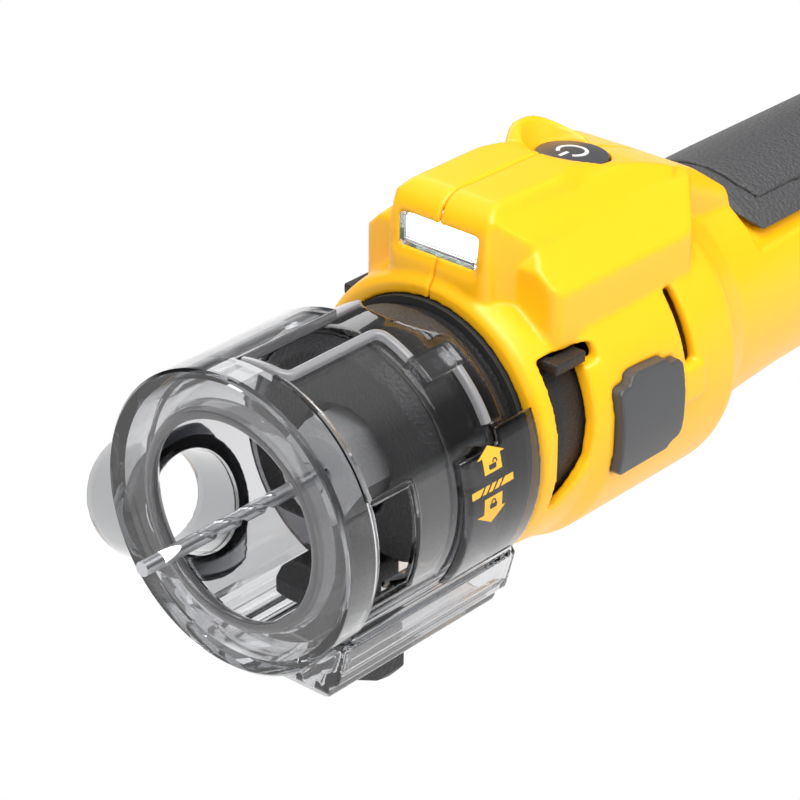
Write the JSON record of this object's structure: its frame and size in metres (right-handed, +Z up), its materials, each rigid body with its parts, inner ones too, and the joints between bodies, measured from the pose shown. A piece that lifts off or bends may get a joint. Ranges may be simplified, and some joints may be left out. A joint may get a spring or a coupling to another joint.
{
  "type": "drywall cut out tool",
  "caption": "Cordless in-line drywall cut out tool: spiral bit in a collet, clear sliding dust shroud with side port, lamp tower, top button, rubber grip and slide-on battery.",
  "frame": {"origin": "on the spindle axis, in the plane of the shroud's front ring", "axes": "+X from the bit towards the battery along the spindle axis, +Z up through the lamp tower, +Y to the dust port's side"},
  "size_m": [0.3252, 0.0963, 0.1038],
  "materials": {
    "yellow_shell": "satin moulded nylon",
    "black_plastic": "fine grained",
    "dark_trim": "satin",
    "grip_rubber": "grained",
    "seal_rubber": "smooth",
    "clear_plastic": "clear moulded polycarbonate",
    "smoked_plastic": "smoked moulded polycarbonate",
    "lens": "clear",
    "nut_steel": "satin",
    "bright_steel": "ground",
    "turned_steel": "turned",
    "screw_steel": "blackened",
    "lamination": "stacked sheet",
    "copper": "enamelled wire",
    "magnet": "sintered",
    "circuit_board": "solder mask",
    "cell_wrap": "shrink sleeve"
  },
  "bodies": {
    "housing": {"housing_left": "yellow_shell", "housing_right": "yellow_shell", "housing_screws": "screw_steel", "nose_case": "black_plastic", "collar_seal": "seal_rubber", "front_bearing_outer": "turned_steel", "rear_bearing_outer": "turned_steel", "bearing_balls": "bright_steel", "stator_core": "lamination", "stator_windings": "copper", "sensor_board": "circuit_board", "fan_baffle": "black_plastic", "led_lens": "lens", "led_board": "circuit_board", "power_switch": "black_plastic", "switch_board": "circuit_board", "power_button_spring": "bright_steel", "spindle_lock_spring_left": "bright_steel", "spindle_lock_spring_right": "bright_steel", "side_pad_left": "dark_trim", "side_pad_right": "dark_trim", "rubber_grip": "grip_rubber", "grip_pad": "grip_rubber", "controller_board": "circuit_board", "battery_terminals": "black_plastic"},
    "spindle": {"spindle": "turned_steel", "front_bearing_inner": "turned_steel", "rear_bearing_inner": "turned_steel", "rotor_core": "lamination", "rotor_magnets": "magnet", "cooling_fan": "black_plastic", "collet": "turned_steel", "collet_nut": "nut_steel", "cutting_bit": "bright_steel"},
    "power_button": {"power_button": "dark_trim"},
    "spindle_lock": {"spindle_lock_plate": "black_plastic"},
    "shroud_mount": {"shroud_mount": "smoked_plastic"},
    "depth_guide": {"depth_guide": "clear_plastic", "dust_port": "clear_plastic", "guide_rails": "clear_plastic"},
    "depth_lock": {"depth_lock": "black_plastic"},
    "battery_latch": {"battery_latch": "dark_trim"},
    "battery": {"battery_case_front": "black_plastic", "battery_case_rear": "black_plastic", "battery_screws": "screw_steel", "battery_cells": "cell_wrap", "battery_contacts": "copper", "battery_latch_spring": "bright_steel"}
  },
  "joints": [
    {"name": "spindle_spin", "type": "hinge", "parent": "housing", "child": "spindle", "pos_m": [0.05, 0, 0], "axis": [-1, 0, 0], "continuous": true},
    {"name": "power_button_press", "type": "slide", "parent": "housing", "child": "power_button", "axis": [0, 0, -1], "range_m": [0, 0.0012], "stiffness_N_per_m": 1500, "springref_m": -0.001, "deforming": ["power_button_spring"]},
    {"name": "spindle_lock_slide", "type": "slide", "parent": "housing", "child": "spindle_lock", "axis": [0, 1, 0], "range_m": [-0.0018, 0.0018], "stiffness_N_per_m": 1500, "deforming": ["spindle_lock_spring_left", "spindle_lock_spring_right"]},
    {"name": "shroud_twist", "type": "hinge", "parent": "housing", "child": "shroud_mount", "pos_m": [0.045, 0, 0], "axis": [1, 0, 0], "range_deg": [-20, 0]},
    {"name": "depth_slide", "type": "slide", "parent": "shroud_mount", "child": "depth_guide", "axis": [-1, 0, 0], "range_m": [0, 0.01]},
    {"name": "depth_lock_slide", "type": "slide", "parent": "depth_guide", "child": "depth_lock", "axis": [-1, 0, 0], "range_m": [0, 0.004]},
    {"name": "battery_slide", "type": "slide", "parent": "housing", "child": "battery", "axis": [0, 0, -1], "range_m": [0, 0.05]},
    {"name": "battery_latch_press", "type": "slide", "parent": "battery", "child": "battery_latch", "axis": [1, 0, 0], "range_m": [0, 0.003], "stiffness_N_per_m": 800, "springref_m": -0.001, "deforming": ["battery_latch_spring"]}
  ]
}
